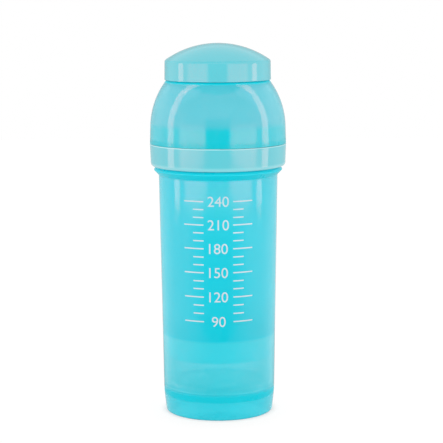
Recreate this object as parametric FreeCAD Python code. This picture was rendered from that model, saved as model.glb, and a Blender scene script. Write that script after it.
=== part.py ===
import FreeCAD, Part
import math
import os

# A wide-neck baby bottle, standing closed. Millimetres, +Z up, origin at the middle of the foot.
# Every radius from the neck outwards is stacked on the body's radius by named walls and clearances.

# General clearances
SEAT_GAP = 0.1              # between faces that rest on each other
PUSH_FIT = 0.15             # all round, where one piece pushes over another

# Bottle: body, foot and floor
BODY_RADIUS = 30.5          # outside, just under the bead
BODY_HEIGHT = 123.2         # table to the underside of the bead
BODY_TAPER = 1.75           # radius lost from the bead down to the foot zone
FOOT_ZONE = 15.5            # height over which the wall draws in to the foot
FOOT_DRAW_IN = 1.3          # radius lost over that height
FOOT_BULGE = 0.3            # how far the foot zone bows out from a straight cone
FOOT_ROUND = 0.8
SKIRT_WALL = 2.0            # wall of the skirt under the floor, at the table
BOTTLE_WALL = 1.8
FLOOR_LEVEL = 12.8          # inside floor above the table
FLOOR_THICKNESS = 2.3
FLOOR_CORNER = 2.5          # radius between floor and wall, inside
RECESS_CORNER = 1.5         # radius between floor and skirt, underneath
GATE_MARK_RADIUS = 1.3      # moulding mark under the middle of the floor
GATE_MARK_DEPTH = 0.5

# Bottle: bead and neck
BEAD_REACH = 2.55           # how far the bead stands out from the body
BEAD_SLOPE = 2.6            # height of its sloping underside
BEAD_SHOULDER = 1.65        # height of its sloping upper side
BEAD_DRAW_IN = 1.45         # radius lost over that height
BEAD_ROUND = 0.5
BEAD_FILLET = 1.0           # hollow corner between body and bead
NECK_STEP = 0.6             # how far the neck stands back from the body
NECK_WALL = 2.0
NECK_HEIGHT = 16.55         # bead to brim
BRIM_ROUND = 0.5

# Screw thread between neck and collar, right-handed
THREAD_LEAD = 6.0
THREAD_DEPTH = 1.4
THREAD_ROOT_WIDTH = 3.0
THREAD_CREST_WIDTH = 1.4
THREAD_CLEARANCE = 0.3      # between crests and roots, and between the flanks that take the pull
THREAD_SINK = 0.4           # how deep a ridge is rooted in its wall
THREAD_BELOW_BRIM = 3.2     # brim to the middle of the neck's ridge at its upper end
THREAD_ABOVE_FOOT = 3.0     # collar's lower edge to the middle of its ridge at the lower end
NECK_THREAD_TURNS = 1.25
COLLAR_THREAD_TURNS = 1.0

# Collar
COLLAR_GAP = 0.15           # bead to the collar's lower edge
COLLAR_WALL = 1.35          # upper ring, inside the hood
COLLAR_PLATE = 1.8          # top plate that clamps the teat
PLATE_LEDGE = 7.2           # how far the plate reaches in over the teat's flange
PLATE_ROUND = 0.8
BAND_HEIGHT = 11.6          # outer band that shows under the hood
BAND_PROUD = 0.1            # how far the band stands out from the hood's lower edge
BAND_TAPER = 0.5            # radius lost from the band's top to its lower edge
BAND_ROUND = 1.8            # its lower edge
BAND_TOP_ROUND = 0.4
EDGE_ROUND = 0.35           # small edges of collar, hood and container
SEAM_ROUND = 0.15           # lower outside edges of hood and cap, where they meet the piece below

# Hood over the teat
HOOD_WALL = 1.5
HOOD_FLARE = 0.25           # how far the lower edge flares out
HOOD_STRAIGHT = 7.7         # lower edge to where the dome springs
HOOD_RISE = 24.45           # springing to the shoulder under the cap
HOOD_DRAW_IN = 8.4          # radius lost over that rise
SHOULDER_WALL = 2.6         # thickness of the shoulder under the cap
CHIMNEY_STEP = 1.3          # shoulder's edge to the chimney that the cap pushes over
CHIMNEY_WALL = 1.5
CHIMNEY_GAP = 0.8           # chimney's rim to the inside of the cap

# Cap
CAP_WALL = 2.1
CAP_BAND = 9.85             # height of its upright band
CAP_DRAFT = 0.15            # radius lost from the band's foot to its top
CAP_CROWN = 8.65            # height of its domed top over the band
CAP_SHOULDER_ROUND = 1.5

# Teat
TEAT_WALL = 2.0
TEAT_FLANGE = 2.0           # thickness of the flange clamped on the brim
FLANGE_INSET = 0.2          # how far the flange stays inside the neck's outside
HOLE_CLEARANCE = 0.2        # teat in the collar's plate
TEAT_LIP = 0.9              # lip that snaps above the plate
TEAT_LIP_HEIGHT = 1.4
BREAST_SWELL = 1.8          # radius of the swelling base over the radius in the plate's hole
BREAST_ABOVE_LIP = 1.0      # lip to where the swelling base springs
NIPPLE_RADIUS = 8.0
NIPPLE_BLEND = 6.0          # hollow radius between base and nipple
TIP_CLEARANCE = 3.4         # nipple to the inside of the cap
FLOW_HOLE_RADIUS = 0.4
PLUG_DEPTH = 4.0            # lip that plugs the neck and carries the net
PLUG_WALL = 1.6
VENT_RADIUS = 0.5
VENT_COUNT = 2

# Mixing net in the neck
NET_ROOM = 0.5              # ring in the neck, all round
NET_RING_WALL = 1.25
NET_DEPTH = 10.0
NET_FLOOR = 1.5
NET_HOLE = 4.0
NET_BAR = 1.2
NET_HOLE_MARGIN = 1.0       # solid floor left inside the ring

# Storage container that stands on the floor
CONTAINER_ROOM = 0.7        # lid in the narrowest place that it passes or stands in
CONTAINER_HEIGHT = 30.1
LID_WALL = 1.4
LID_SKIRT = 13.6
LID_PLATE = 1.6
LID_DISH = 1.5              # depth of the finger dish in the lid
CUP_WALL = 1.4
CUP_FLOOR = 1.6
CUP_ROUND = 2.0
CUP_FOOT_WIDTH = 3.0        # ring that the cup stands on
CUP_RECESS = 0.8

# Bottle levels and radii
BEAD_UNDER = BODY_HEIGHT + BEAD_SLOPE
BEAD_TOP = BEAD_UNDER + BEAD_SHOULDER
BRIM = BEAD_TOP + NECK_HEIGHT
LOW_RADIUS = BODY_RADIUS - BODY_TAPER
FOOT_RADIUS = LOW_RADIUS - FOOT_DRAW_IN
SKIRT_BORE = FOOT_RADIUS - SKIRT_WALL
RECESS_TOP = FLOOR_LEVEL - FLOOR_THICKNESS
BEAD_RADIUS = BODY_RADIUS + BEAD_REACH
SHELF_RADIUS = BEAD_RADIUS - BEAD_DRAW_IN
NECK_RADIUS = BODY_RADIUS - NECK_STEP
NECK_BORE = NECK_RADIUS - NECK_WALL

# Collar levels and radii
NECK_CREST = NECK_RADIUS + THREAD_DEPTH
COLLAR_BORE = NECK_CREST + THREAD_CLEARANCE
COLLAR_CREST = COLLAR_BORE - THREAD_DEPTH
RING_RADIUS = COLLAR_BORE + COLLAR_WALL
PLATE_HOLE = COLLAR_BORE - PLATE_LEDGE
FLANGE_UNDER = BRIM + SEAT_GAP
FLANGE_TOP = FLANGE_UNDER + TEAT_FLANGE
PLATE_UNDER = FLANGE_TOP + SEAT_GAP
PLATE_TOP = PLATE_UNDER + COLLAR_PLATE
COLLAR_FOOT = BEAD_TOP + COLLAR_GAP
BAND_TOP = COLLAR_FOOT + BAND_HEIGHT

# Hood and cap levels and radii
HOOD_BORE = RING_RADIUS + PUSH_FIT
HOOD_RADIUS = HOOD_BORE + HOOD_WALL
HOOD_FOOT_RADIUS = HOOD_RADIUS + HOOD_FLARE
BAND_RADIUS = HOOD_FOOT_RADIUS + BAND_PROUD
HOOD_FOOT = BAND_TOP + SEAT_GAP
HOOD_SPRING = HOOD_FOOT + HOOD_STRAIGHT
SHOULDER = HOOD_SPRING + HOOD_RISE
SHOULDER_RADIUS = HOOD_RADIUS - HOOD_DRAW_IN
CHIMNEY_RADIUS = SHOULDER_RADIUS - CHIMNEY_STEP
CHIMNEY_BORE = CHIMNEY_RADIUS - CHIMNEY_WALL
CAP_BORE = CHIMNEY_RADIUS + PUSH_FIT
CAP_RADIUS = CAP_BORE + CAP_WALL
CAP_FOOT = SHOULDER + SEAT_GAP
CROWN_FOOT = CAP_FOOT + CAP_BAND
CAP_TOP = CROWN_FOOT + CAP_CROWN
CHIMNEY_TOP = CROWN_FOOT - CAP_WALL - CHIMNEY_GAP

# Teat and net levels and radii
TEAT_NECK = PLATE_HOLE - HOLE_CLEARANCE
BREAST_RADIUS = TEAT_NECK + BREAST_SWELL
LIP_FOOT = PLATE_TOP + SEAT_GAP
LIP_TOP = LIP_FOOT + TEAT_LIP_HEIGHT
BREAST_SPRING = LIP_TOP + BREAST_ABOVE_LIP
TEAT_TIP = CAP_TOP - CAP_WALL - TIP_CLEARANCE
FLANGE_RADIUS = NECK_RADIUS - FLANGE_INSET
NET_RADIUS = NECK_BORE - NET_ROOM
NET_BORE = NET_RADIUS - NET_RING_WALL
PLUG_RADIUS = NET_BORE - PUSH_FIT
PLUG_BORE = PLUG_RADIUS - PLUG_WALL
PLUG_FOOT = FLANGE_UNDER - PLUG_DEPTH
NET_TOP = FLANGE_UNDER - SEAT_GAP
NET_FOOT = NET_TOP - NET_DEPTH


def outside_radius(level):
    """Outside radius of the bottle's tapered wall at a height."""
    drop = (BODY_HEIGHT - level) / (BODY_HEIGHT - FOOT_ZONE)
    return BODY_RADIUS - BODY_TAPER * drop


def inside_radius(level):
    """Inside radius of the bottle's tapered wall at a height."""
    return outside_radius(level) - BOTTLE_WALL


# Container levels and radii
CUP_FOOT = FLOOR_LEVEL + SEAT_GAP
LID_TOP = CUP_FOOT + CONTAINER_HEIGHT
LID_FOOT = LID_TOP - LID_SKIRT
LID_RADIUS = min(NECK_BORE, inside_radius(LID_FOOT)) - CONTAINER_ROOM
LID_BORE = LID_RADIUS - LID_WALL
CUP_RADIUS = LID_BORE - PUSH_FIT
CUP_BORE = CUP_RADIUS - CUP_WALL
CUP_RIM = LID_TOP - LID_PLATE - SEAT_GAP
DISH_RADIUS = CUP_BORE - PUSH_FIT - LID_WALL


def point(place):
    """A profile point (radius, height) in the XZ plane."""
    radius, height = place
    return FreeCAD.Vector(radius, 0, height)


def lines(*places):
    """Straight edges through profile points."""
    return [Part.LineSegment(point(a), point(b)).toShape() for a, b in zip(places, places[1:])]


def arc(start, middle, end):
    """A round edge through three profile points."""
    return Part.Arc(point(start), point(middle), point(end)).toShape()


def bow(start, end, bulge):
    """A round edge that bows out by bulge to the right of the way from start to end."""
    across = end[0] - start[0]
    up = end[1] - start[1]
    span = math.hypot(across, up)
    middle = ((start[0] + end[0]) / 2 + bulge * up / span, (start[1] + end[1]) / 2 - bulge * across / span)
    return arc(start, middle, end)


def springing(foot, top):
    """A round edge that leaves its foot upright and leans in to its top."""
    inward = foot[0] - top[0]
    rise = top[1] - foot[1]
    radius = (inward ** 2 + rise ** 2) / (2 * inward)
    half = math.asin(rise / radius) / 2
    middle = (foot[0] - radius * (1 - math.cos(half)), foot[1] + radius * math.sin(half))
    return arc(foot, middle, top)


def turned(edges):
    """The solid that a closed profile sweeps about the bottle's axis."""
    wire = Part.Wire(Part.sortEdges(edges)[0])
    return Part.Face(wire).revolve(FreeCAD.Vector(0, 0, 0), FreeCAD.Vector(0, 0, 1), 360)


def drum(radius, low, high):
    """A plain cylinder on the axis."""
    return Part.makeCylinder(radius, high - low, FreeCAD.Vector(0, 0, low))


def rounded(solid, radius, *rims):
    """Rounds the circular edges that pass through the given profile points."""
    chosen = []
    for edge in solid.Edges:
        if edge.Degenerated or not isinstance(edge.Curve, Part.Circle):
            continue
        for rim_radius, level in rims:
            if abs(edge.Curve.Radius - rim_radius) < 1e-6 and abs(edge.Curve.Center.z - level) < 1e-6:
                chosen.append(edge)
    return solid.makeFillet(radius, chosen)


def ridge(root_radius, crest_radius, low, turns):
    """One thread ridge that climbs the shared helix from a height, rooted in the wall behind it."""
    outward = math.copysign(1, crest_radius - root_radius)
    buried = root_radius - outward * THREAD_SINK
    slope = (THREAD_ROOT_WIDTH - THREAD_CREST_WIDTH) / (2 * THREAD_DEPTH)
    half_root = THREAD_ROOT_WIDTH / 2 + slope * THREAD_SINK
    half_crest = THREAD_CREST_WIDTH / 2
    section = Part.Wire(lines((buried, -half_root), (crest_radius, -half_crest), (crest_radius, half_crest),
                              (buried, half_root), (buried, -half_root)))
    helix = Part.makeHelix(THREAD_LEAD, THREAD_LEAD * turns, root_radius)
    thread = Part.Wire(helix).makePipeShell([section], True, True)
    thread.translate(FreeCAD.Vector(0, 0, low))
    return thread


def turned_to(shape, degrees):
    """Turns a shape about the bottle's axis."""
    shape.rotate(FreeCAD.Vector(0, 0, 0), FreeCAD.Vector(0, 0, 1), degrees)
    return shape


def neck_ridge_low():
    """Height of the neck ridge's middle at its lower end, where the shared helix starts."""
    return BRIM - THREAD_BELOW_BRIM - THREAD_LEAD * NECK_THREAD_TURNS


def collar_ridge_angle():
    """Turn that sets the collar's ridge just under the neck's, flank to flank with clearance."""
    slope = (THREAD_ROOT_WIDTH - THREAD_CREST_WIDTH) / (2 * THREAD_DEPTH)
    touching = THREAD_CREST_WIDTH + slope * (NECK_CREST - COLLAR_CREST)
    drop = touching + THREAD_CLEARANCE * math.hypot(1, slope)
    climb = COLLAR_FOOT + THREAD_ABOVE_FOOT + drop - neck_ridge_low()
    return 360 * climb / THREAD_LEAD


def make_bottle():
    """Tapered body on a hollow skirt, with a bead and a threaded neck."""
    wall = lines((0, 0), (FOOT_RADIUS, 0))
    wall.append(bow((FOOT_RADIUS, 0), (LOW_RADIUS, FOOT_ZONE), FOOT_BULGE))
    wall += lines((LOW_RADIUS, FOOT_ZONE), (BODY_RADIUS, BODY_HEIGHT), (BEAD_RADIUS, BEAD_UNDER),
                  (SHELF_RADIUS, BEAD_TOP), (NECK_RADIUS, BEAD_TOP), (NECK_RADIUS, BRIM), (0, BRIM), (0, 0))
    body = turned(wall)
    body = rounded(body, FOOT_ROUND, (FOOT_RADIUS, 0))
    body = rounded(body, BEAD_FILLET, (BODY_RADIUS, BODY_HEIGHT))
    body = rounded(body, BEAD_ROUND, (BEAD_RADIUS, BEAD_UNDER), (SHELF_RADIUS, BEAD_TOP))

    floor_radius = inside_radius(FLOOR_LEVEL)
    cavity = turned(lines((0, FLOOR_LEVEL), (floor_radius, FLOOR_LEVEL),
                          (inside_radius(BODY_HEIGHT), BODY_HEIGHT), (NECK_BORE, BEAD_TOP),
                          (NECK_BORE, BRIM), (0, BRIM), (0, FLOOR_LEVEL)))
    cavity = rounded(cavity, FLOOR_CORNER, (floor_radius, FLOOR_LEVEL))
    recess = rounded(drum(SKIRT_BORE, 0, RECESS_TOP), RECESS_CORNER, (SKIRT_BORE, RECESS_TOP))
    body = body.cut(cavity).cut(recess)
    body = rounded(body, BRIM_ROUND, (NECK_RADIUS, BRIM), (NECK_BORE, BRIM))

    gate_mark = drum(GATE_MARK_RADIUS, RECESS_TOP - GATE_MARK_DEPTH, RECESS_TOP + GATE_MARK_DEPTH)
    thread = ridge(NECK_RADIUS, NECK_CREST, neck_ridge_low(), NECK_THREAD_TURNS)
    return body.fuse([gate_mark, thread])


def make_collar():
    """Screw ring: a band that shows, an upper ring inside the hood and a plate over the teat's flange."""
    foot_radius = BAND_RADIUS - BAND_TAPER
    ring = turned(lines((COLLAR_BORE, COLLAR_FOOT), (foot_radius, COLLAR_FOOT), (BAND_RADIUS, BAND_TOP),
                        (RING_RADIUS, BAND_TOP), (RING_RADIUS, PLATE_TOP), (PLATE_HOLE, PLATE_TOP),
                        (PLATE_HOLE, PLATE_UNDER), (COLLAR_BORE, PLATE_UNDER), (COLLAR_BORE, COLLAR_FOOT)))
    ring = rounded(ring, BAND_ROUND, (foot_radius, COLLAR_FOOT))
    ring = rounded(ring, BAND_TOP_ROUND, (BAND_RADIUS, BAND_TOP))
    ring = rounded(ring, EDGE_ROUND, (PLATE_HOLE, PLATE_TOP))
    ring = rounded(ring, PLATE_ROUND, (RING_RADIUS, PLATE_TOP))
    thread = ridge(COLLAR_BORE, COLLAR_CREST, COLLAR_FOOT + THREAD_ABOVE_FOOT, COLLAR_THREAD_TURNS)
    return ring.fuse(turned_to(thread, collar_ridge_angle()))


def make_hood():
    """Translucent dome that pushes over the collar's ring and ends in a chimney for the cap."""
    inner_top = SHOULDER - SHOULDER_WALL + CHIMNEY_WALL
    shell = lines((HOOD_BORE, HOOD_SPRING), (HOOD_BORE, HOOD_FOOT), (HOOD_FOOT_RADIUS, HOOD_FOOT),
                  (HOOD_RADIUS, HOOD_SPRING))
    shell.append(springing((HOOD_RADIUS, HOOD_SPRING), (SHOULDER_RADIUS, SHOULDER)))
    shell += lines((SHOULDER_RADIUS, SHOULDER), (CHIMNEY_RADIUS, SHOULDER), (CHIMNEY_RADIUS, CHIMNEY_TOP),
                   (CHIMNEY_BORE, CHIMNEY_TOP), (CHIMNEY_BORE, inner_top))
    shell.append(springing((HOOD_BORE, HOOD_SPRING), (CHIMNEY_BORE, inner_top)))
    hood = rounded(turned(shell), SEAM_ROUND, (HOOD_FOOT_RADIUS, HOOD_FOOT))
    return rounded(hood, EDGE_ROUND, (SHOULDER_RADIUS, SHOULDER), (CHIMNEY_RADIUS, CHIMNEY_TOP),
                   (CHIMNEY_BORE, CHIMNEY_TOP))


def crown(rim_radius, rim_level, top):
    """Round profile of a domed top, from its rim to the axis."""
    rise = top - rim_level
    radius = (rim_radius ** 2 + rise ** 2) / (2 * rise)
    half = math.asin(rim_radius / radius) / 2
    middle = (radius * math.sin(half), top - radius * (1 - math.cos(half)))
    return arc((rim_radius, rim_level), middle, (0, top))


def make_cap():
    """Opaque lid: an upright band and a low domed top."""
    band_top_radius = CAP_RADIUS - CAP_DRAFT
    shell = lines((CAP_BORE, CROWN_FOOT - CAP_WALL), (CAP_BORE, CAP_FOOT), (CAP_RADIUS, CAP_FOOT),
                  (band_top_radius, CROWN_FOOT))
    shell.append(crown(band_top_radius, CROWN_FOOT, CAP_TOP))
    shell += lines((0, CAP_TOP), (0, CAP_TOP - CAP_WALL))
    shell.append(crown(CAP_BORE, CROWN_FOOT - CAP_WALL, CAP_TOP - CAP_WALL))
    cap = turned(shell)
    cap = rounded(cap, CAP_SHOULDER_ROUND, (band_top_radius, CROWN_FOOT))
    return rounded(cap, SEAM_ROUND, (CAP_RADIUS, CAP_FOOT))


def teat_skin(inset):
    """Profile of the teat's base and nipple, moved in from its outside by inset, from neck to tip."""
    centre = BREAST_SPRING - math.sqrt(BREAST_RADIUS ** 2 - TEAT_NECK ** 2)
    blend_reach = NIPPLE_RADIUS + NIPPLE_BLEND
    blend_level = centre + math.sqrt((BREAST_RADIUS + NIPPLE_BLEND) ** 2 - blend_reach ** 2)
    tip_level = TEAT_TIP - NIPPLE_RADIUS
    neck = TEAT_NECK - inset
    breast = BREAST_RADIUS - inset
    blend = NIPPLE_BLEND + inset
    nipple = NIPPLE_RADIUS - inset

    lean = math.asin(blend_reach / (BREAST_RADIUS + NIPPLE_BLEND))
    start = math.asin(neck / breast)
    spring = (neck, centre + breast * math.cos(start))
    meeting = (breast * math.sin(lean), centre + breast * math.cos(lean))
    swell = (start + lean) / 2
    hollow = (lean + math.pi / 2) / 2
    edges = [arc(spring, (breast * math.sin(swell), centre + breast * math.cos(swell)), meeting)]
    edges.append(arc(meeting, (blend_reach - blend * math.sin(hollow), blend_level - blend * math.cos(hollow)),
                     (nipple, blend_level)))
    edges += lines((nipple, blend_level), (nipple, tip_level))
    edges.append(arc((nipple, tip_level),
                     (nipple * math.sqrt(0.5), tip_level + nipple * math.sqrt(0.5)), (0, tip_level + nipple)))
    return edges, spring


def make_teat():
    """Silicone teat: flange on the brim, plug lip in the neck, lip above the plate, base and nipple."""
    outer, outer_spring = teat_skin(0)
    inner, inner_spring = teat_skin(TEAT_WALL)
    lip = TEAT_NECK + TEAT_LIP
    teat_bore = TEAT_NECK - TEAT_WALL
    skin = outer + inner
    skin += lines((0, TEAT_TIP), (0, TEAT_TIP - TEAT_WALL))
    skin += lines(inner_spring, (teat_bore, FLANGE_UNDER), (PLUG_BORE, FLANGE_UNDER), (PLUG_BORE, PLUG_FOOT),
                  (PLUG_RADIUS, PLUG_FOOT), (PLUG_RADIUS, FLANGE_UNDER), (FLANGE_RADIUS, FLANGE_UNDER),
                  (FLANGE_RADIUS, FLANGE_TOP), (TEAT_NECK, FLANGE_TOP), (TEAT_NECK, LIP_FOOT),
                  (lip, LIP_FOOT), (TEAT_NECK, LIP_TOP), outer_spring)
    teat = turned(skin)
    holes = [drum(FLOW_HOLE_RADIUS, FLANGE_UNDER, TEAT_TIP + TEAT_WALL)]
    vent_reach = (PLUG_RADIUS + NECK_BORE) / 2
    for number in range(VENT_COUNT):
        vent = Part.makeCylinder(VENT_RADIUS, TEAT_FLANGE, FreeCAD.Vector(vent_reach, 0, FLANGE_UNDER))
        holes.append(turned_to(vent, 360 * number / VENT_COUNT))
    return teat.cut(holes)


def make_mixer_net():
    """Ring that pushes over the teat's plug lip, with a square grid for a floor."""
    ring = turned(lines((0, NET_FOOT), (NET_RADIUS, NET_FOOT), (NET_RADIUS, NET_TOP), (NET_BORE, NET_TOP),
                        (NET_BORE, NET_FOOT + NET_FLOOR), (0, NET_FOOT + NET_FLOOR), (0, NET_FOOT)))
    reach = NET_BORE - NET_HOLE_MARGIN
    pitch = NET_HOLE + NET_BAR
    steps = math.ceil(reach / pitch)
    holes = []
    for column in range(-steps, steps + 1):
        for row in range(-steps, steps + 1):
            corner = FreeCAD.Vector(column * pitch - NET_HOLE / 2, row * pitch - NET_HOLE / 2, NET_FOOT)
            far_side = math.hypot(abs(column * pitch) + NET_HOLE / 2, abs(row * pitch) + NET_HOLE / 2)
            if far_side < reach:
                holes.append(Part.makeBox(NET_HOLE, NET_HOLE, NET_FLOOR, corner))
    return ring.cut(holes)


def make_container_cup():
    """Cup for dry formula, standing on the bottle's floor."""
    cup = rounded(drum(CUP_RADIUS, CUP_FOOT, CUP_RIM), CUP_ROUND, (CUP_RADIUS, CUP_FOOT))
    hollow = rounded(drum(CUP_BORE, CUP_FOOT + CUP_RECESS + CUP_FLOOR, CUP_RIM), CUP_ROUND,
                     (CUP_BORE, CUP_FOOT + CUP_RECESS + CUP_FLOOR))
    foot_ring = drum(CUP_RADIUS - CUP_ROUND - CUP_FOOT_WIDTH, CUP_FOOT, CUP_FOOT + CUP_RECESS)
    cup = cup.cut(hollow).cut(foot_ring)
    return rounded(cup, EDGE_ROUND, (CUP_RADIUS, CUP_RIM), (CUP_BORE, CUP_RIM))


def make_container_lid():
    """Lid with a long skirt over the cup and a finger dish that plugs the cup's mouth."""
    plug_radius = DISH_RADIUS + LID_WALL
    dish_floor = LID_TOP - LID_DISH
    lid = turned(lines((0, dish_floor), (DISH_RADIUS, dish_floor), (DISH_RADIUS, LID_TOP),
                       (LID_RADIUS, LID_TOP), (LID_RADIUS, LID_FOOT), (LID_BORE, LID_FOOT),
                       (LID_BORE, LID_TOP - LID_PLATE), (plug_radius, LID_TOP - LID_PLATE),
                       (plug_radius, dish_floor - LID_PLATE), (0, dish_floor - LID_PLATE), (0, dish_floor)))
    return rounded(lid, EDGE_ROUND, (LID_RADIUS, LID_TOP), (DISH_RADIUS, LID_TOP), (LID_RADIUS, LID_FOOT))


PIECES = {
    "bottle": make_bottle,
    "container_cup": make_container_cup,
    "container_lid": make_container_lid,
    "mixer_net": make_mixer_net,
    "teat": make_teat,
    "collar": make_collar,
    "hood": make_hood,
    "cap": make_cap,
}

os.makedirs("parts", exist_ok=True)
for name, make in PIECES.items():
    make().exportStep(f"parts/{name}.step")
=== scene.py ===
import math

import bmesh
import bpy
from mathutils import Matrix, Vector


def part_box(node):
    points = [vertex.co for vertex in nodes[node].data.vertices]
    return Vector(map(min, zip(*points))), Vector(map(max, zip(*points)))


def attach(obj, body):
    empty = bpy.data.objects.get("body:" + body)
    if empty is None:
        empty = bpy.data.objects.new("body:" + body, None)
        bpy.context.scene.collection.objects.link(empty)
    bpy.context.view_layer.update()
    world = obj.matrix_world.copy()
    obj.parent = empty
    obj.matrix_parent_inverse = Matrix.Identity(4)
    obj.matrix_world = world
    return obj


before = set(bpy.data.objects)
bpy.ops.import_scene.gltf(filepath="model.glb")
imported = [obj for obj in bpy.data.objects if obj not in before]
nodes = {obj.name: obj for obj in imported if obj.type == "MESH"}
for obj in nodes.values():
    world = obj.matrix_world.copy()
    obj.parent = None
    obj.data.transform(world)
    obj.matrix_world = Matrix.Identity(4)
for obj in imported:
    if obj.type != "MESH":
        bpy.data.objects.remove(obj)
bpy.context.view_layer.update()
bottle = nodes["bottle"]

# Levels in the frame that the shades on the plastics are measured from: metres
CUP_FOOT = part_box("container_cup")[0].z
LID_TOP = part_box("container_lid")[1].z
COLLAR_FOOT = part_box("collar")[0].z
COLLAR_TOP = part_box("collar")[1].z
HOOD_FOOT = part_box("hood")[0].z
CAP_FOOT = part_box("cap")[0].z

# Camera, fitted to the photograph as a square image: metres, degrees, and millimetres for the lens
CAMERA_DISTANCE = 0.853
CAMERA_HEIGHT = 0.221
CAMERA_RIGHT = 0.0016
CAMERA_PITCH = 8.18
CAMERA_ROLL = -0.28
SENSOR_WIDTH = 36.0
FOCAL_LENGTH = 135.8

# How often light may bounce, which the clear walls need
BOUNCES = 24
DIFFUSE_BOUNCES = 12

# Panels and strips that show in the gloss: metres, degrees from the front, radiance where 1 is white
LIGHTS_FACE = Vector((0, 0, 0.12))
PANEL_AZIMUTH = 43.5
PANEL_DISTANCE = 0.72
PANEL_WIDTH = 0.75
PANEL_FOOT = -0.008
PANEL_TOP = 0.28
PANEL_RADIANCE = 2.6
PANEL_TOP_FADE = (1.0, 0.3)
PANEL_SIDE_FADE = 0.2
STRIP_AZIMUTH = 85.0
STRIP_DISTANCE = 0.7
STRIP_WIDTH = 0.17
STRIP_ON_CAP = 0.25
STRIP_BEND = 0.8
STRIP_LEAN_TO = Vector((0.25, -0.22, 1.08))
STRIP_RADIANCE = 3.3

# Surroundings: radiance where 1 is white, degrees from the front, and heights on a unit sphere
WORLD_LIGHT = 1.26
WORLD_TOP_LIGHT = 1.0
WORLD_TOP_EDGES = (0.2, 1.0)
DARK_GAP_RADIANCE = 0.05
DARK_GAP_EDGES = (15.0, 27.0)
DARK_GAP_TOP = (0.12, 0.4)
LOW_GAP_EDGES = (5.0, 80.0)
LOW_GAP_TOP = (-0.162, -0.170)
OVERHEAD_GAP_FOOT = (0.765, 0.825)
OVERHEAD_GAP_BACK = (0.12, 0.04)
FRONT_GLOW = 2.2
FRONT_GLOW_FOOT = (-0.169, -0.161)
FRONT_GLOW_TOP = (-0.145, -0.150)
SIDE_RADIANCE = 1.35
SIDE_EDGES = (50.0, 70.0)
BACK_RADIANCE = 0.6
BACK_EDGES = (110.0, 150.0)
BACK_TOP = (0.5, 0.3)

# Floor: metres, linear colour, and glow where 1 is white
FLOOR_COLOUR = (0.95, 0.85, 0.83, 1)
FLOOR_FRONT = 0.19
FLOOR_REACH = 1.5
FLOOR_GLOW = 1.04
FLOOR_GLOW_SHARE = 0.85
UNDER_BOTTLE = (0.0255, 0.0315)
UNDER_BOTTLE_GLOW = 0.35
SOFT_SHADOW_MIDDLE = Vector((0, -0.018, 0))
SOFT_SHADOW_REACH = (0.009, 0.039)
SOFT_SHADOW_GLOW = 0.85
FLOOR_MIRRORED = (0.3, 1.2)
FLOOR_BEHIND = 0.65
SHADOW_REACH = (0.03, 0.3)
SHADOW_MIRRORED = 0.6

# Kinds of rays that see things as they are, and white light
SEEN_DIRECTLY = ("Is Camera Ray", "Is Transmission Ray")
WHITE = (1, 1, 1, 1)

# Every plastic: noise scales per metre, a ripple's scale and height in metres, and linear colours
NOISE_DETAIL = 2.0
NOISE_SPAN = (0.3, 0.7)
FLOW_MARK_SCALE = 35.0
FLOW_MARK_DETAIL = 3.0
FLOW_MARK_DEPTH = 0.02
GLOSS_SCALE = 160.0
MOULD_RIPPLE = (900.0, 0.00001)
GLOSS_TINT = (1.0, 0.2, 0.12, 1)
GLOSS = 0.5
PLASTIC_IOR = 1.58
LONG_WAY = (0.0, 0.25, 0.3)
LONG_WAY_POWER = 2.0
DEEP = (0.0, 0.6, 0.72)
DEEP_GLOSS = 0.15
DEEP_ROUGH = (0.25, 0.35)

# Bottle: linear colours, and soft edges in metres, from where a shade starts to where it is full
BOTTLE_MILK = (0.0, 0.7, 0.855)
BOTTLE_CLEAR = (0.45, 0.9, 0.97)
BOTTLE_MILKINESS = 0.8
BOTTLE_ROUGH = (0.06, 0.1)
# Painted light: the skirt's milk is paler, making up for the lesser light that reaches the foot
SKIRT_MILK_PAINTED_LIGHT = (0.02, 0.76, 0.91)
# Painted light: the milk round the container is paler and brighter
LOW_MILK_PAINTED_LIGHT = (0.03, 0.83, 0.98)
LOW_CLEAR = (1.0, 0.95, 1.0)
LOW_MILKINESS = 0.69
LOW_INSIDE_MILKINESS = 0.4
LOW_FOOT = (CUP_FOOT - 0.0004, CUP_FOOT + 0.0011)
LOW_TOP = (LID_TOP - 0.0013, LID_TOP - 0.0030)
BEAD_FOOT = (COLLAR_FOOT - 0.0048, COLLAR_FOOT - 0.0038)
BEAD_UPPER_SIDE = (COLLAR_FOOT - 0.0020, COLLAR_FOOT - 0.0012)
BEAD_TOP = (COLLAR_FOOT + 0.0006, COLLAR_FOOT + 0.0002)
FLOOR_EDGE_FOOT = (CUP_FOOT - 0.0039, CUP_FOOT - 0.0032)
FLOOR_EDGE_TOP = (CUP_FOOT + 0.0001, CUP_FOOT - 0.0009)
FLOOR_EDGE_INSIDE = (0.0252, 0.0262)
FLOOR_DISC_TOP = (CUP_FOOT + 0.0021, CUP_FOOT + 0.0006)
FLOOR_DISC_DEPTH = 0.7
GATE_MARK = (0.0017, 0.0011)
# Painted shade: a deep colour that stands in for the shade under the collar and on the floor under the
# container
PAINTED_SHADE = (0.0, 0.74, 0.875)
SCUFFED = (0.05, 0.76, 0.89)
SCUFFED_ROUGH = (0.4, 0.6)
SCUFF_COVER = 0.3
SCUFF_SCALE = 400.0
SCUFF_DETAIL = 4.0
SCUFF_TOP = (0.0045, 0.0010)

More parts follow.
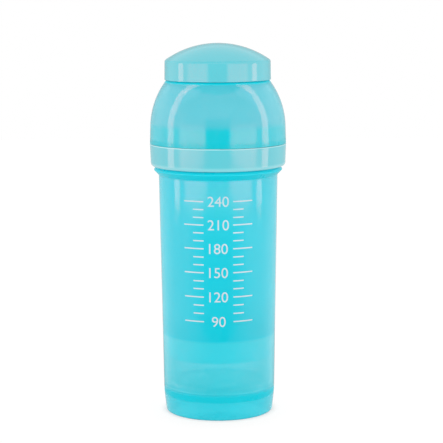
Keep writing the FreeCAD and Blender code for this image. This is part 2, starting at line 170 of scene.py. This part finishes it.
# Hood: linear colours, and soft edges in metres
HOOD_MILK = (0.08, 0.66, 0.785)
HOOD_CLEAR = (0.95, 0.95, 0.98)
HOOD_MILKINESS = 0.8
HOOD_ROUGH = (0.05, 0.09)
# Painted shade: the hood's milk loses its red where the collar's opaque ring stands behind it
HOOD_RING_SHADE_MILK = (0.0, 0.68, 0.8)
HOOD_RING_TOP = (COLLAR_TOP + 0.0032, COLLAR_TOP - 0.0006)
HOOD_RIM = (0.0, 0.5, 0.58)
HOOD_RIM_DEPTH = 0.5
HOOD_RIM_TOP = (HOOD_FOOT + 0.0027, HOOD_FOOT + 0.0015)
# Painted shade: deep colour on the hood's shoulder, under the cap's edge
HOOD_SHOULDER_SHADE = (0.0, 0.66, 0.77)
HOOD_SHOULDER_FOOT = (CAP_FOOT - 0.00175, CAP_FOOT - 0.00075)

# Collar and cap: linear colours, and soft edges in metres
PASTEL = (0.113, 0.575, 0.655)
PASTEL_ROUGH = (0.06, 0.11)
# Painted highlight: pale colour along the upper edge of the collar's band, fainter along its lower edge
PAINTED_HIGHLIGHT = (0.43, 0.82, 0.86)
BAND_TOP_FOOT = (HOOD_FOOT - 0.0008, HOOD_FOOT - 0.0004)
BAND_TOP_END = (HOOD_FOOT + 0.0003, HOOD_FOOT + 0.0001)
BAND_LOWER_EDGE = (COLLAR_FOOT + 0.0026, COLLAR_FOOT + 0.0010)
BAND_LOWER_EDGE_HIGHLIGHT = 0.4

# Container, net and teat: linear colours
CUP_MILK = (0.92, 0.96, 0.96)
CUP_CLEAR = (0.97, 0.99, 0.99)
CUP_MILKINESS = 0.1
CUP_ROUGH = (0.1, 0.2)
CUP_IOR = 1.15
LID_MILK = (0.03, 0.9, 1.0)
LID_CLEAR = (0.2, 0.92, 0.96)
LID_MILKINESS = 0.75
LID_ROUGH = (0.15, 0.25)
NET_COLOUR = (0.7, 0.85, 0.87)
NET_ROUGH = (0.3, 0.4)
SILICONE_MILK = (0.85, 0.9, 0.9)
SILICONE_CLEAR = (0.95, 0.97, 0.97)
SILICONE_MILKINESS = 0.3
SILICONE_ROUGH = (0.3, 0.4)
SILICONE_IOR = 1.41

# Volume scale printed on the front: millilitres, metres and a linear colour
MILLILITRE = 1e-6
SCALE_VOLUMES = range(90, 241, 10)
NUMBERED_EACH = 30
SLICE = 0.0002
DIGIT_HEIGHT = 0.0052
TICK_START = 0.0075
LONG_TICK = 0.0105
SHORT_TICK = 0.0055
TICK_THICKNESS = 0.0006
INK_PROUD = 0.00005
INK_SUNK = 0.00003
INK_CELL = 0.0006
INK_COLOUR = (0.56, 0.7, 0.74)
INK_ROUGH = (0.35, 0.5)
INK_RIPPLE = (2500.0, 0.00002)


# Parts of node trees

def feed(tree, places, values):
    """Gives sockets their values in order: another socket is linked, and a plain value is set."""
    for place, value in zip(places, values):
        if isinstance(value, bpy.types.NodeSocket):
            tree.links.new(value, place)
        else:
            place.default_value = value


def calculate(tree, operation, *values):
    """A maths node on sockets or numbers."""
    node = tree.nodes.new("ShaderNodeMath")
    node.operation = operation
    feed(tree, node.inputs, values)
    return node.outputs["Value"]


def measure(tree, operation, *vectors):
    """A number from vectors, such as a length, a distance or a dot product."""
    node = tree.nodes.new("ShaderNodeVectorMath")
    node.operation = operation
    feed(tree, node.inputs, vectors)
    return node.outputs["Value"]


def coordinates(tree, kind):
    """A point's coordinates of a kind."""
    return tree.nodes.new("ShaderNodeTexCoord").outputs[kind]


def axes_of(tree, vector):
    """A vector's parts along X, Y and Z."""
    node = tree.nodes.new("ShaderNodeSeparateXYZ")
    tree.links.new(vector, node.inputs["Vector"])
    return tuple(node.outputs[axis] for axis in "XYZ")


def ramp(tree, value, edges, ends=(0.0, 1.0), interpolation="SMOOTHSTEP"):
    """Goes from one end to the other as a value goes from one edge to the other."""
    node = tree.nodes.new("ShaderNodeMapRange")
    node.interpolation_type = interpolation
    node.inputs["From Min"].default_value = edges[0]
    node.inputs["From Max"].default_value = edges[1]
    node.inputs["To Min"].default_value = ends[0]
    node.inputs["To Max"].default_value = ends[1]
    tree.links.new(value, node.inputs["Value"])
    return node.outputs["Result"]


def between(tree, value, foot, top):
    """1 between two soft edges and 0 outside them."""
    return calculate(tree, "MULTIPLY", ramp(tree, value, foot), ramp(tree, value, top))


def crossfade(tree, share, value, other):
    """Goes from one number to another by a share from 0 to 1."""
    return calculate(tree, "MULTIPLY_ADD", share, calculate(tree, "SUBTRACT", other, value), value)


def blended(tree, share, colour, other):
    """Goes from one colour to another by a share from 0 to 1."""
    mix = tree.nodes.new("ShaderNodeMix")
    mix.data_type = "RGBA"
    tree.links.new(share, mix.inputs["Factor"])
    # A mix node has sockets for numbers and vectors before those for colours
    feed(tree, mix.inputs[6:8], (colour, other))
    return mix.outputs[2]


def layered(tree, share, shader, over):
    """Lays one shader over another by a share from 0 to 1."""
    mix = tree.nodes.new("ShaderNodeMixShader")
    feed(tree, mix.inputs, (share, shader, over))
    return mix.outputs["Shader"]


def white_light(tree, kind, strength):
    """White light of a strength, a number or a socket, from a background or an emission node."""
    node = tree.nodes.new(kind)
    feed(tree, (node.inputs["Color"], node.inputs["Strength"]), (WHITE, strength))
    return node.outputs[0]


def seen_rays(tree, *kinds):
    """1 for the named kinds of rays and 0 for the rest."""
    path = tree.nodes.new("ShaderNodeLightPath")
    total = path.outputs[kinds[0]]
    for kind in kinds[1:]:
        total = calculate(tree, "MAXIMUM", total, path.outputs[kind])
    return total


def degrees_from_front(tree, x, y):
    """How far round from the front a direction or a place lies."""
    turn = calculate(tree, "ARCTAN2", x, calculate(tree, "MULTIPLY", y, -1.0))
    return calculate(tree, "DEGREES", calculate(tree, "ABSOLUTE", turn))


# Places on a piece, in its own coordinates, so that its shades move with it

def height_of(tree):
    """A point's height."""
    return axes_of(tree, coordinates(tree, "Object"))[2]


def off_axis(tree):
    """A point's place with its height left out."""
    node = tree.nodes.new("ShaderNodeVectorMath")
    node.operation = "MULTIPLY"
    feed(tree, node.inputs, (coordinates(tree, "Object"), (1, 1, 0)))
    return node.outputs["Vector"]


def radius_of(tree):
    """A point's distance from the axis."""
    return measure(tree, "LENGTH", off_axis(tree))


def faces_axis(tree):
    """1 on the faces that look towards the axis and 0 on the others."""
    outward = measure(tree, "DOT_PRODUCT", off_axis(tree), coordinates(tree, "Normal"))
    return calculate(tree, "LESS_THAN", outward, 0.0)


def noise(tree, scale, detail=NOISE_DETAIL):
    """Noise that is fixed to the piece."""
    texture = tree.nodes.new("ShaderNodeTexNoise")
    texture.inputs["Scale"].default_value = scale
    texture.inputs["Detail"].default_value = detail
    tree.links.new(coordinates(tree, "Object"), texture.inputs["Vector"])
    return texture.outputs["Fac"]


def uneven(tree, ends, scale, detail=NOISE_DETAIL):
    """Varies between two values with noise."""
    return ramp(tree, noise(tree, scale, detail), NOISE_SPAN, ends, "LINEAR")


def flow_marked(tree, colour):
    """A colour with faint flow marks, a little darker and a little paler."""
    share = uneven(tree, (0.0, 1.0), FLOW_MARK_SCALE, FLOW_MARK_DETAIL)
    darker = (*(part * (1 - FLOW_MARK_DEPTH) for part in colour), 1)
    paler = (*(part * (1 + FLOW_MARK_DEPTH) for part in colour), 1)
    return blended(tree, share, darker, paler)


def ripple(tree, scale, height):
    """A fine bump, as on a moulded face."""
    bump = tree.nodes.new("ShaderNodeBump")
    bump.inputs["Distance"].default_value = height
    tree.links.new(noise(tree, scale), bump.inputs["Height"])
    return bump.outputs["Normal"]


# Plastics, silicone and ink

def new_material(name):
    """A material with an empty node tree and its output."""
    material = bpy.data.materials.new(name)
    material.use_nodes = True
    tree = material.node_tree
    tree.nodes.clear()
    output = tree.nodes.new("ShaderNodeOutputMaterial")
    return material, tree, output


def moulded(tree, colour, rough, normal, transmission=0.0, ior=PLASTIC_IOR, gloss=GLOSS):
    """Principled shader with an uneven gloss, from a colour's socket."""
    shader = tree.nodes.new("ShaderNodeBsdfPrincipled")
    tree.links.new(colour, shader.inputs["Base Color"])
    tree.links.new(uneven(tree, rough, GLOSS_SCALE), shader.inputs["Roughness"])
    tree.links.new(normal, shader.inputs["Normal"])
    shader.inputs["IOR"].default_value = ior
    shader.inputs["Specular IOR Level"].default_value = gloss
    shader.inputs["Specular Tint"].default_value = GLOSS_TINT
    shader.inputs["Transmission Weight"].default_value = transmission
    return shader.outputs["BSDF"]


def deep_plastic(tree, normal, colour=DEEP, gloss=DEEP_GLOSS):
    """Shader for places where plastic is thick, and for painted shade: deep in colour, mostly with little
    gloss.
    """
    return moulded(tree, flow_marked(tree, colour), DEEP_ROUGH, normal, gloss=gloss)


def through_wall(tree, tint):
    """Colour of the light that comes through a clear wall, deeper where its way through is long."""
    slant = tree.nodes.new("ShaderNodeLayerWeight")
    long_way = calculate(tree, "POWER", slant.outputs["Facing"], LONG_WAY_POWER)
    return blended(tree, long_way, flow_marked(tree, tint), flow_marked(tree, LONG_WAY))


def milky(tree, normal, milk, tint, milkiness, rough, ior=PLASTIC_IOR):
    """Shader that is part cloudy and part clear, from its colours' sockets.

    Light turns cloudy only as it enters a wall, so that each wall counts once.
    """
    clear = moulded(tree, tint, rough, normal, 1.0, ior)
    cloudy = moulded(tree, milk, rough, normal, 0.0, ior)
    side = tree.nodes.new("ShaderNodeNewGeometry")
    entering = calculate(tree, "SUBTRACT", 1.0, side.outputs["Backfacing"])
    return layered(tree, calculate(tree, "MULTIPLY", entering, milkiness), clear, cloudy)


def opaque_plastic(name, colour, rough, highlight_places=None):
    """Glossy plastic that hides what is behind it, paler where a highlight is painted along its edges."""
    material, tree, output = new_material(name)
    base = flow_marked(tree, colour)
    if highlight_places:
        # Painted highlight along the given edges
        base = blended(tree, highlight_places(tree), base, flow_marked(tree, PAINTED_HIGHLIGHT))
    surface = moulded(tree, base, rough, ripple(tree, *MOULD_RIPPLE))
    tree.links.new(surface, output.inputs["Surface"])
    return material


def milky_plastic(name, milk, tint, milkiness, rough, ior=PLASTIC_IOR):
    """Plastic that is part milky and part clear, so that what is inside shows faintly."""
    material, tree, output = new_material(name)
    normal = ripple(tree, *MOULD_RIPPLE)
    milk = flow_marked(tree, milk)
    surface = milky(tree, normal, milk, through_wall(tree, tint), milkiness, rough, ior)
    tree.links.new(surface, output.inputs["Surface"])
    return material


def bottle_thick_places(tree):
    """1 on the bottle's bead, its floor's edge and its gate mark, where the plastic is thick. On the bead
    the deep colour is also painted shade under the collar.
    """
    height = height_of(tree)
    radius = radius_of(tree)
    # The bead is thick, and its deep colour is also painted shade under the collar
    bead = between(tree, height, BEAD_FOOT, BEAD_TOP)
    floor_level = between(tree, height, FLOOR_EDGE_FOOT, FLOOR_EDGE_TOP)
    floor_edge = calculate(tree, "MULTIPLY", floor_level, ramp(tree, radius, FLOOR_EDGE_INSIDE))
    gate = ramp(tree, radius, GATE_MARK)
    return calculate(tree, "MAXIMUM", bead, calculate(tree, "MAXIMUM", floor_edge, gate))


def bottle_sheltered_places(tree):
    """1 where shade is painted: on the bead's upper side, under the collar, and partly on the bottle's
    floor, under the container.
    """
    height = height_of(tree)
    radius = radius_of(tree)
    upper_side = between(tree, height, BEAD_UPPER_SIDE, BEAD_TOP)
    floor_disc = between(tree, radius, GATE_MARK[::-1], FLOOR_EDGE_INSIDE[::-1])
    floor_level = ramp(tree, height, FLOOR_DISC_TOP, (0.0, FLOOR_DISC_DEPTH))
    return calculate(tree, "MAXIMUM", upper_side, calculate(tree, "MULTIPLY", floor_disc, floor_level))


def bottle_milk(tree, height, low):
    """The bottle's milk, tint and milkiness: clearer round the container, with painted light that makes
    the milk paler there and on the skirt.
    """
    # Painted light: paler milk round the container
    milk = blended(tree, low, flow_marked(tree, BOTTLE_MILK), flow_marked(tree, LOW_MILK_PAINTED_LIGHT))
    # Painted light on the skirt
    milk = blended(tree, ramp(tree, height, LOW_FOOT[::-1]), milk, flow_marked(tree, SKIRT_MILK_PAINTED_LIGHT))
    tint = blended(tree, low, through_wall(tree, BOTTLE_CLEAR), through_wall(tree, LOW_CLEAR))
    milkiness = ramp(tree, low, (0.0, 1.0), (BOTTLE_MILKINESS, LOW_MILKINESS))
    low_inside = calculate(tree, "MULTIPLY", low, faces_axis(tree))
    milkiness = crossfade(tree, low_inside, milkiness, LOW_INSIDE_MILKINESS)
    return milk, tint, milkiness


def bottle_plastic():
    """The bottle's milky plastic: deeper in colour where it is thick, with painted shade under the collar
    and on its floor, painted light round the container and on its skirt, and scuffed at its foot.
    """
    material, tree, output = new_material("bottle_tint")
    normal = ripple(tree, *MOULD_RIPPLE)
    height = height_of(tree)
    low = between(tree, height, LOW_FOOT, LOW_TOP)
    surface = milky(tree, normal, *bottle_milk(tree, height, low), BOTTLE_ROUGH)
    # Deep where the plastic is thick, and painted shade on the bead under the collar
    surface = layered(tree, bottle_thick_places(tree), surface, deep_plastic(tree, normal))
    # Painted shade under the collar and on the bottle's floor
    painted_shade = deep_plastic(tree, normal, PAINTED_SHADE, GLOSS)
    surface = layered(tree, bottle_sheltered_places(tree), surface, painted_shade)
    patches = uneven(tree, (0.0, SCUFF_COVER), SCUFF_SCALE, SCUFF_DETAIL)
    scuffs = calculate(tree, "MULTIPLY", ramp(tree, height, SCUFF_TOP), patches)
    scuffed = moulded(tree, flow_marked(tree, SCUFFED), SCUFFED_ROUGH, normal)
    tree.links.new(layered(tree, scuffs, surface, scuffed), output.inputs["Surface"])
    return material


def hood_plastic():
    """The hood's milky plastic: deeper in colour at its rim, with painted shade round the collar's ring
    and at its shoulder, under the cap.
    """
    material, tree, output = new_material("hood_tint")
    normal = ripple(tree, *MOULD_RIPPLE)
    height = height_of(tree)
    # Painted shade of the collar's ring behind the hood
    ring_shade = ramp(tree, height, HOOD_RING_TOP)
    milk = blended(tree, ring_shade, flow_marked(tree, HOOD_MILK), flow_marked(tree, HOOD_RING_SHADE_MILK))
    surface = milky(tree, normal, milk, through_wall(tree, HOOD_CLEAR), HOOD_MILKINESS, HOOD_ROUGH)
    rim = ramp(tree, height, HOOD_RIM_TOP, (0.0, HOOD_RIM_DEPTH))
    surface = layered(tree, rim, surface, deep_plastic(tree, normal, HOOD_RIM))
    # Painted shade under the cap's edge
    shoulder = ramp(tree, height, HOOD_SHOULDER_FOOT)
    surface = layered(tree, shoulder, surface, deep_plastic(tree, normal, HOOD_SHOULDER_SHADE))
    tree.links.new(surface, output.inputs["Surface"])
    return material


def collar_rubbed_places(tree):
    """1 along the upper edge of the collar's band, and less along its lower edge, where a highlight is
    painted.
    """
    height = height_of(tree)
    upper_edge = between(tree, height, BAND_TOP_FOOT, BAND_TOP_END)
    lower_edge = ramp(tree, height, BAND_LOWER_EDGE, (0.0, BAND_LOWER_EDGE_HIGHLIGHT))
    return calculate(tree, "MAXIMUM", upper_edge, lower_edge)


def white_ink():
    """Print that covers a little unevenly."""
    material, tree, output = new_material("white_ink")
    surface = moulded(tree, flow_marked(tree, INK_COLOUR), INK_ROUGH, ripple(tree, *INK_RIPPLE))
    tree.links.new(surface, output.inputs["Surface"])
    return material


def dress(name, material):
    """Gives a carried-over node its material."""
    for slot in nodes[name].material_slots:
        slot.material = material


def dress_nodes():
    """Dresses every node."""
    dress("bottle", bottle_plastic())
    dress("hood", hood_plastic())
    dress("collar", opaque_plastic("collar_pastel", PASTEL, PASTEL_ROUGH, collar_rubbed_places))
    dress("cap", opaque_plastic("cap_pastel", PASTEL, PASTEL_ROUGH))
    cup = milky_plastic("cup_tint", CUP_MILK, CUP_CLEAR, CUP_MILKINESS, CUP_ROUGH, CUP_IOR)
    dress("container_cup", cup)
    lid = milky_plastic("lid_tint", LID_MILK, LID_CLEAR, LID_MILKINESS, LID_ROUGH)
    dress("container_lid", lid)
    dress("mixer_net", opaque_plastic("net_plastic", NET_COLOUR, NET_ROUGH))
    silicone = milky_plastic("silicone", SILICONE_MILK, SILICONE_CLEAR, SILICONE_MILKINESS,
                             SILICONE_ROUGH, SILICONE_IOR)
    dress("teat", silicone)


# Volume scale

def inside_radius(height):
    """The bottle's inside radius at a height."""
    return bottle.ray_cast((0, 0, height), (0, -1, 0))[1].xy.length


def outside_radius(turn, height):
    """The bottle's outside radius at a turn from its front and a height."""
    outward = Vector((math.sin(turn), -math.cos(turn), 0))
    start = outward + Vector((0, 0, height))
    return bottle.ray_cast(start, -outward)[1].xy.length


def fill_heights():
    """How high each volume of the scale stands in the bottle, summed in thin slices from its floor."""
    height = bottle.ray_cast((0, 0, COLLAR_FOOT), (0, 0, -1))[1].z
    held = 0.0
    heights = {}
    for volume in SCALE_VOLUMES:
        while held < volume * MILLILITRE:
            height += SLICE
            held += math.pi * inside_radius(height) ** 2 * SLICE
        heights[volume] = height
    return heights


def add_number(ink, number, height):
    """Adds a flat number to the print, centred on the front at a height."""
    curve = bpy.data.curves.new("number", "FONT")
    curve.body = str(number)
    text = bpy.data.objects.new("number", curve)
    mesh = bpy.data.meshes.new_from_object(text)
    low = [min(vertex.co[axis] for vertex in mesh.vertices) for axis in range(2)]
    high = [max(vertex.co[axis] for vertex in mesh.vertices) for axis in range(2)]
    size = DIGIT_HEIGHT / (high[1] - low[1])
    centre = Matrix.Translation((-(low[0] + high[0]) / 2, -(low[1] + high[1]) / 2, 0))
    mesh.transform(Matrix.Translation((0, height, 0)) @ Matrix.Scale(size, 4) @ centre)
    ink.from_mesh(mesh)
    bpy.data.objects.remove(text)
    bpy.data.curves.remove(curve)
    bpy.data.meshes.remove(mesh)


def add_ticks(ink, length, height):
    """Adds a flat tick at each side of the number's place."""
    for side in (-1, 1):
        ends = (side * TICK_START, side * (TICK_START + length))
        across = [(ends[0], -1), (ends[1], -1), (ends[1], 1), (ends[0], 1)]
        corners = [ink.verts.new((x, height + edge * TICK_THICKNESS / 2, 0)) for x, edge in across]
        ink.faces.new(corners)


def wrapped(point):
    """Where a flat point, with its height as y, lies on the bottle's front."""
    turn = point.x / outside_radius(0.0, point.y)
    radius = outside_radius(turn, point.y) + point.z
    return Vector((radius * math.sin(turn), -radius * math.cos(turn), point.y))


def flat_scale():
    """All numbers and ticks, flat, with their heights as y."""
    ink = bmesh.new()
    for volume, height in fill_heights().items():
        if volume % NUMBERED_EACH == 0:
            add_number(ink, volume, height)
            add_ticks(ink, LONG_TICK, height)
        else:
            add_ticks(ink, SHORT_TICK, height)
    return ink


def cut_upright(ink):
    """Cuts a flat print into narrow cells, so that it can follow the round wall."""
    cells = math.ceil((TICK_START + LONG_TICK) / INK_CELL)
    for cell in range(-cells, cells + 1):
        geometry = ink.verts[:] + ink.edges[:] + ink.faces[:]
        bmesh.ops.bisect_plane(ink, geom=geometry, plane_co=(cell * INK_CELL, 0, 0), plane_no=(1, 0, 0))


def thicken(ink):
    """Makes slabs of a flat print, a little sunk in the wall and a little proud of it."""
    raised = bmesh.ops.extrude_face_region(ink, geom=ink.faces[:], use_keep_orig=True)["geom"]
    for vertex in ink.verts:
        vertex.co.z = -INK_SUNK
    for element in raised:
        if isinstance(element, bmesh.types.BMVert):
            element.co.z = INK_PROUD


def make_volume_scale():
    """Numbers and ticks as thin slabs of ink on the bottle's wall."""
    ink = flat_scale()
    cut_upright(ink)
    thicken(ink)
    for vertex in ink.verts:
        vertex.co = wrapped(vertex.co)
    bmesh.ops.recalc_face_normals(ink, faces=ink.faces[:])

    mesh = bpy.data.meshes.new("volume_scale")
    ink.to_mesh(mesh)
    ink.free()
    mesh.materials.append(white_ink())
    scale = bpy.data.objects.new("volume_scale", mesh)
    bpy.context.collection.objects.link(scale)
    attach(scale, "bottle_body")


# Studio

def front_of_studio(tree, azimuth, height):
    """Strength round the front: a dark gap, wider low down, with a low bright line across it."""
    beside = ramp(tree, azimuth, DARK_GAP_EDGES)
    beside_low = ramp(tree, azimuth, LOW_GAP_EDGES)
    beside = crossfade(tree, ramp(tree, height, LOW_GAP_TOP), beside, beside_low)
    outside = calculate(tree, "MAXIMUM", beside, ramp(tree, height, DARK_GAP_TOP))
    strength = ramp(tree, outside, (0.0, 1.0), (DARK_GAP_RADIANCE, 1.0))
    line = between(tree, height, FRONT_GLOW_FOOT, FRONT_GLOW_TOP)
    in_gap = ramp(tree, beside, (1.0, 0.0), (0.0, FRONT_GLOW))
    return calculate(tree, "ADD", strength, calculate(tree, "MULTIPLY", line, in_gap))


def sides_of_studio(tree, azimuth, height):
    """How much brighter the sides are, and how much dimmer the back is, up to a height."""
    sides = ramp(tree, azimuth, SIDE_EDGES, (1.0, SIDE_RADIANCE))
    sides_and_back = crossfade(tree, ramp(tree, azimuth, BACK_EDGES), sides, BACK_RADIANCE)
    return crossfade(tree, ramp(tree, height, BACK_TOP), 1.0, sides_and_back)


def studio_in_gloss(tree, x, y, height):
    """Strength of the surroundings as gloss mirrors them, with a second dark gap overhead."""
    azimuth = degrees_from_front(tree, x, y)
    in_front = ramp(tree, y, OVERHEAD_GAP_BACK)
    overhead = calculate(tree, "MULTIPLY", in_front, ramp(tree, height, OVERHEAD_GAP_FOOT))
    strength = crossfade(tree, overhead, front_of_studio(tree, azimuth, height), DARK_GAP_RADIANCE)
    return calculate(tree, "MULTIPLY", strength, sides_of_studio(tree, azimuth, height))


def make_world():
    """White surroundings: plain where seen directly, shaped in the gloss, and soft as a light."""
    world = bpy.data.worlds.new("studio")
    bpy.context.scene.world = world
    world.use_nodes = True
    tree = world.node_tree
    tree.nodes.clear()
    output = tree.nodes.new("ShaderNodeOutputWorld")

    x, y, height = axes_of(tree, coordinates(tree, "Generated"))
    plain = white_light(tree, "ShaderNodeBackground", 1.0)
    mirrored = white_light(tree, "ShaderNodeBackground", studio_in_gloss(tree, x, y, height))
    strength = ramp(tree, height, WORLD_TOP_EDGES, (WORLD_LIGHT, WORLD_TOP_LIGHT))
    lighting = white_light(tree, "ShaderNodeBackground", strength)
    seen = layered(tree, seen_rays(tree, *SEEN_DIRECTLY), mirrored, plain)
    surface = layered(tree, seen_rays(tree, *SEEN_DIRECTLY, "Is Glossy Ray"), lighting, seen)
    tree.links.new(surface, output.inputs["Surface"])


def floor_lit(tree, place):
    """The lit floor, with a white glow where it is seen directly, less in the bottle's shade."""
    lit = tree.nodes.new("ShaderNodeBsdfDiffuse")
    lit.inputs["Color"].default_value = FLOOR_COLOUR
    glow = white_light(tree, "ShaderNodeEmission", FLOOR_GLOW)
    from_axis = measure(tree, "LENGTH", place)
    clear_of_bottle = ramp(tree, from_axis, UNDER_BOTTLE, (UNDER_BOTTLE_GLOW, 1.0))
    from_shadow = measure(tree, "DISTANCE", place, SOFT_SHADOW_MIDDLE)
    clear_of_shadow = ramp(tree, from_shadow, SOFT_SHADOW_REACH, (SOFT_SHADOW_GLOW, 1.0))
    unshaded = calculate(tree, "MULTIPLY", clear_of_bottle, clear_of_shadow)
    share = calculate(tree, "MULTIPLY", seen_rays(tree, *SEEN_DIRECTLY), unshaded)
    share = calculate(tree, "MULTIPLY", share, FLOOR_GLOW_SHARE)
    return layered(tree, share, lit.outputs["BSDF"], glow)


def floor_in_gloss(tree, place):
    """The floor as gloss mirrors it: dimmer in front, behind and near the bottle."""
    x, y, _ = axes_of(tree, place)
    azimuth = degrees_from_front(tree, x, y)
    front = ramp(tree, azimuth, LOW_GAP_EDGES, FLOOR_MIRRORED)
    behind = ramp(tree, azimuth, BACK_EDGES, (1.0, FLOOR_BEHIND))
    near = ramp(tree, measure(tree, "LENGTH", place), SHADOW_REACH, (SHADOW_MIRRORED, 1.0))
    strength = calculate(tree, "MULTIPLY", calculate(tree, "MULTIPLY", front, behind), near)
    return white_light(tree, "ShaderNodeEmission", strength)


def floor_white():
    """The floor's material."""
    material, tree, output = new_material("floor_white")
    place = coordinates(tree, "Object")
    in_gloss = seen_rays(tree, "Is Glossy Ray")
    surface = layered(tree, in_gloss, floor_lit(tree, place), floor_in_gloss(tree, place))
    tree.links.new(surface, output.inputs["Surface"])
    return material


def make_floor():
    """White table that keeps the bottle's soft shadow. Its front edge is just out of view."""
    mesh = bpy.data.meshes.new("floor")
    corners = [(-FLOOR_REACH, -FLOOR_FRONT, 0), (FLOOR_REACH, -FLOOR_FRONT, 0),
               (FLOOR_REACH, FLOOR_REACH, 0), (-FLOOR_REACH, FLOOR_REACH, 0)]
    mesh.from_pydata(corners, [], [(0, 1, 2, 3)])
    mesh.materials.append(floor_white())
    floor = bpy.data.objects.new("floor", mesh)
    bpy.context.collection.objects.link(floor)


def soften_edges(data):
    """Fades a light towards its top and its sides."""
    data.use_nodes = True
    tree = data.node_tree
    place = tree.nodes.new("ShaderNodeNewGeometry")
    x, y, _ = axes_of(tree, place.outputs["Parametric"])
    across = between(tree, x, (0.0, PANEL_SIDE_FADE), (1.0, 1.0 - PANEL_SIDE_FADE))
    strength = calculate(tree, "MULTIPLY", ramp(tree, y, PANEL_TOP_FADE), across)
    tree.links.new(strength, tree.nodes["Emission"].inputs["Strength"])


def soft_light(name, start, end, width, radiance):
    """Rectangular light from start to end, turned to the bottle, that shows only in the gloss."""
    along = end - start
    height = along.length
    along.normalize()
    middle = (start + end) / 2
    back = middle - LIGHTS_FACE
    back -= along * back.dot(along)
    back.normalize()
    across = along.cross(back)

    data = bpy.data.lights.new(name, "AREA")
    data.shape = "RECTANGLE"
    data.size = width
    data.size_y = height
    data.energy = radiance * math.pi * width * height
    light = bpy.data.objects.new(name, data)
    light.matrix_world = Matrix.Translation(middle) @ Matrix((across, along, back)).transposed().to_4x4()
    light.visible_camera = False
    light.visible_diffuse = False
    light.visible_transmission = False
    bpy.context.collection.objects.link(light)
    return light


def keep_off(light, name):
    """Keeps a light off a node."""
    group = bpy.data.collections.new(f"{light.name}_kept_off")
    group.objects.link(nodes[name])
    group.collection_objects[0].light_linking.link_state = "EXCLUDE"
    light.light_linking.receiver_collection = group


def around(azimuth, distance, height):
    """A point around the bottle. Azimuth 0 is the front, positive to the right."""
    turn = math.radians(azimuth)
    return Vector((distance * math.sin(turn), -distance * math.cos(turn), height))


def make_panel(side, name):
    """A low panel in front, at one side."""
    foot = around(side * PANEL_AZIMUTH, PANEL_DISTANCE, PANEL_FOOT)
    top = around(side * PANEL_AZIMUTH, PANEL_DISTANCE, PANEL_TOP)
    panel = soft_light(f"panel_{name}", foot, top, PANEL_WIDTH, PANEL_RADIANCE)
    soften_edges(panel.data)


def make_strip(side, name):
    """A tall strip at one side that leans in above the bottle. Only its lowest part shows on the cap."""
    foot = around(side * STRIP_AZIMUTH, STRIP_DISTANCE, 0)
    joint = around(side * STRIP_AZIMUTH, STRIP_DISTANCE, STRIP_ON_CAP)
    bend = around(side * STRIP_AZIMUTH, STRIP_DISTANCE, STRIP_BEND)
    lean_to = Vector((side * STRIP_LEAN_TO.x, STRIP_LEAN_TO.y, STRIP_LEAN_TO.z))
    soft_light(f"strip_{name}", foot, joint, STRIP_WIDTH, STRIP_RADIANCE)
    upper = soft_light(f"strip_upper_{name}", joint, bend, STRIP_WIDTH, STRIP_RADIANCE)
    top = soft_light(f"strip_top_{name}", bend, lean_to, STRIP_WIDTH, STRIP_RADIANCE)
    keep_off(upper, "cap")
    keep_off(top, "cap")


def make_lights():
    """A panel and a strip at each side."""
    for side, name in ((-1, "left"), (1, "right")):
        make_panel(side, name)
        make_strip(side, name)


def make_camera():
    """Camera at the photograph's angle."""
    data = bpy.data.cameras.new("camera")
    data.sensor_width = SENSOR_WIDTH
    data.lens = FOCAL_LENGTH
    camera = bpy.data.objects.new("camera", data)
    pitch = Matrix.Rotation(math.radians(90 - CAMERA_PITCH), 4, "X")
    roll = Matrix.Rotation(math.radians(CAMERA_ROLL), 4, "Z")
    place = Matrix.Translation(Vector((CAMERA_RIGHT, -CAMERA_DISTANCE, CAMERA_HEIGHT)))
    camera.matrix_world = place @ pitch @ roll
    bpy.context.collection.objects.link(camera)
    bpy.context.scene.camera = camera


def set_up_render():
    """Plain view colours, and enough bounces for the clear walls."""
    scene = bpy.context.scene
    scene.view_settings.view_transform = "Standard"
    scene.cycles.max_bounces = BOUNCES
    scene.cycles.transmission_bounces = BOUNCES
    scene.cycles.diffuse_bounces = DIFFUSE_BOUNCES


dress_nodes()
make_volume_scale()
make_world()
make_floor()
make_lights()
make_camera()
set_up_render()
